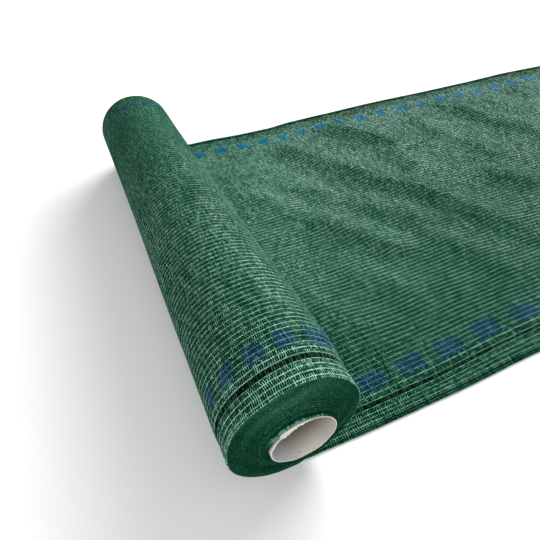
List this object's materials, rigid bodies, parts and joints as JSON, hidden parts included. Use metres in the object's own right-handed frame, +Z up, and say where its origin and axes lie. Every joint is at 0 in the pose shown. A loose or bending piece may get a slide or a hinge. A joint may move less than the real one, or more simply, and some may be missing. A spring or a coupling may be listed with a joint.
{
  "type": "roll of shade netting",
  "caption": "Roll of green knitted shade net, folded double on a paper tube, with its loose end laid out flat on the ground.",
  "frame": {"origin": "centre of the bounding box, at the ground that the roll and its loose end lie on", "axes": "+X the way the loose end runs out from the roll, +Y along the roll from the net's open edges to its fold, +Z up"},
  "size_m": [0.8854, 0.52, 0.1102],
  "materials": {
    "core_paper": "matte",
    "net_wound": "satin",
    "net_laid": "satin"
  },
  "bodies": {
    "root": {"core_tube": "core_paper", "net_roll": "net_wound", "net_sheet": "net_laid"}
  },
  "joints": []
}
